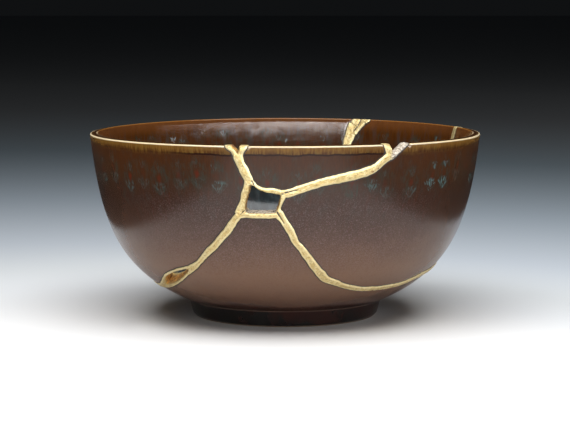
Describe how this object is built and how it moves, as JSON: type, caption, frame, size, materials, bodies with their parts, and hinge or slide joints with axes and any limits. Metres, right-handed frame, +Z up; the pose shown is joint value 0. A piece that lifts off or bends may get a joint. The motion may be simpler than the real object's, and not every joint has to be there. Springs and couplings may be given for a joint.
{
  "type": "kintsugi bowl",
  "caption": "Round footed stoneware bowl in glossy brown glaze, broken and mended with raised gold seams, open where a small square shard is lost",
  "frame": {"origin": "centre of the foot ring's underside, on the surface that the bowl stands on", "axes": "+Z up along the bowl's axis; the front with the square hole faces -Y; +X is to the right seen from the front"},
  "size_m": [0.1696, 0.1696, 0.0809],
  "materials": {
    "brown_glaze": "glossy brown glaze, satin and mauve brown low down",
    "gold_mending": "pale gold powder on lacquer, grainy and softly brushed"
  },
  "bodies": {
    "root": {"base_shard": "brown_glaze", "left_shard": "brown_glaze", "front_rim_shard": "brown_glaze", "right_shard": "brown_glaze", "back_shard": "brown_glaze", "gold_seams": "gold_mending"}
  },
  "joints": []
}
